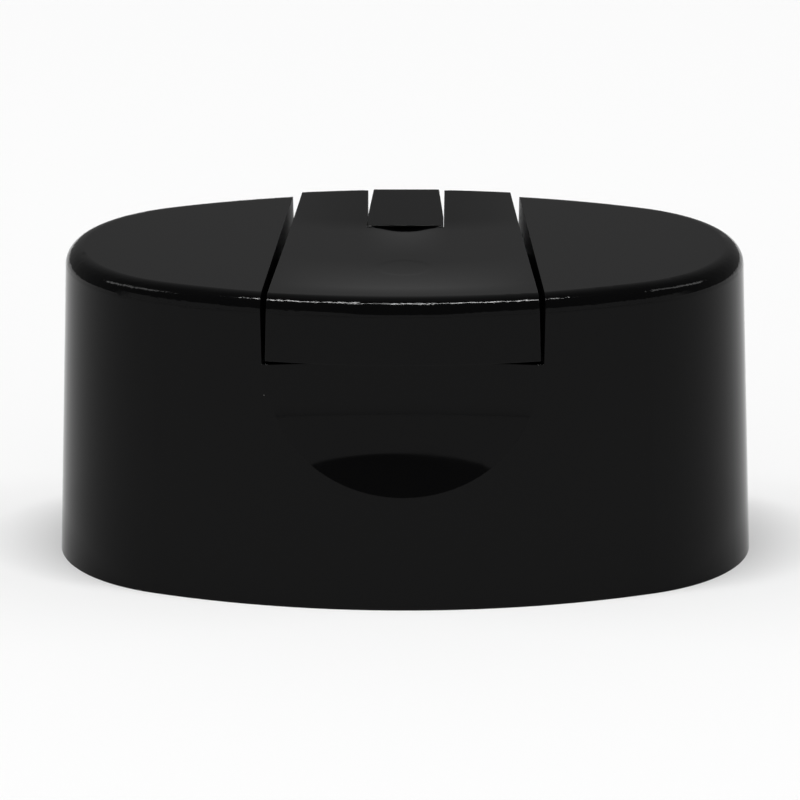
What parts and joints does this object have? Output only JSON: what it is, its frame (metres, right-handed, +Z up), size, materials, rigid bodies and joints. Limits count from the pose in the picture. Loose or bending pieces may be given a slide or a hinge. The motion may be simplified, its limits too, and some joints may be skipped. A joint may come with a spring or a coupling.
{
  "type": "flip top cap",
  "caption": "Oval black flip top bottle cap, shut: two wings, a lid strip between them on film hinges with a snap strap, spout and neck socket.",
  "frame": {"origin": "under the middle of the cap, on the plane of its base rim, with the lid shut", "axes": "+X across the two rounded ends, -Y to the front where the thumb scoop is, +Z up out of the bottle"},
  "size_m": [0.06, 0.035, 0.0273],
  "materials": {
    "black_pp": "gloss black polypropylene"
  },
  "bodies": {
    "body": {"cap_body": "black_pp", "film_hinge_left": "black_pp", "film_hinge_right": "black_pp"},
    "lid": {"lid": "black_pp", "strap_film": "black_pp"},
    "strap": {"hinge_strap": "black_pp"}
  },
  "joints": [
    {"name": "lid_hinge", "type": "hinge", "parent": "body", "child": "lid", "pos_m": [0, 0.0169, 0.02155], "axis": [-1, 0, 0], "range_deg": [0, 120], "deforming": ["film_hinge_left", "film_hinge_right"]},
    {"name": "strap_hinge", "type": "hinge", "parent": "lid", "child": "strap", "pos_m": [0, 0.0073, 0.02625], "axis": [-1, 0, 0], "range_deg": [-15, 0], "deforming": ["strap_film"]}
  ],
  "couplings": [
    {"joint": "strap_hinge", "follows": "lid_hinge", "ratio": -0.125}
  ]
}
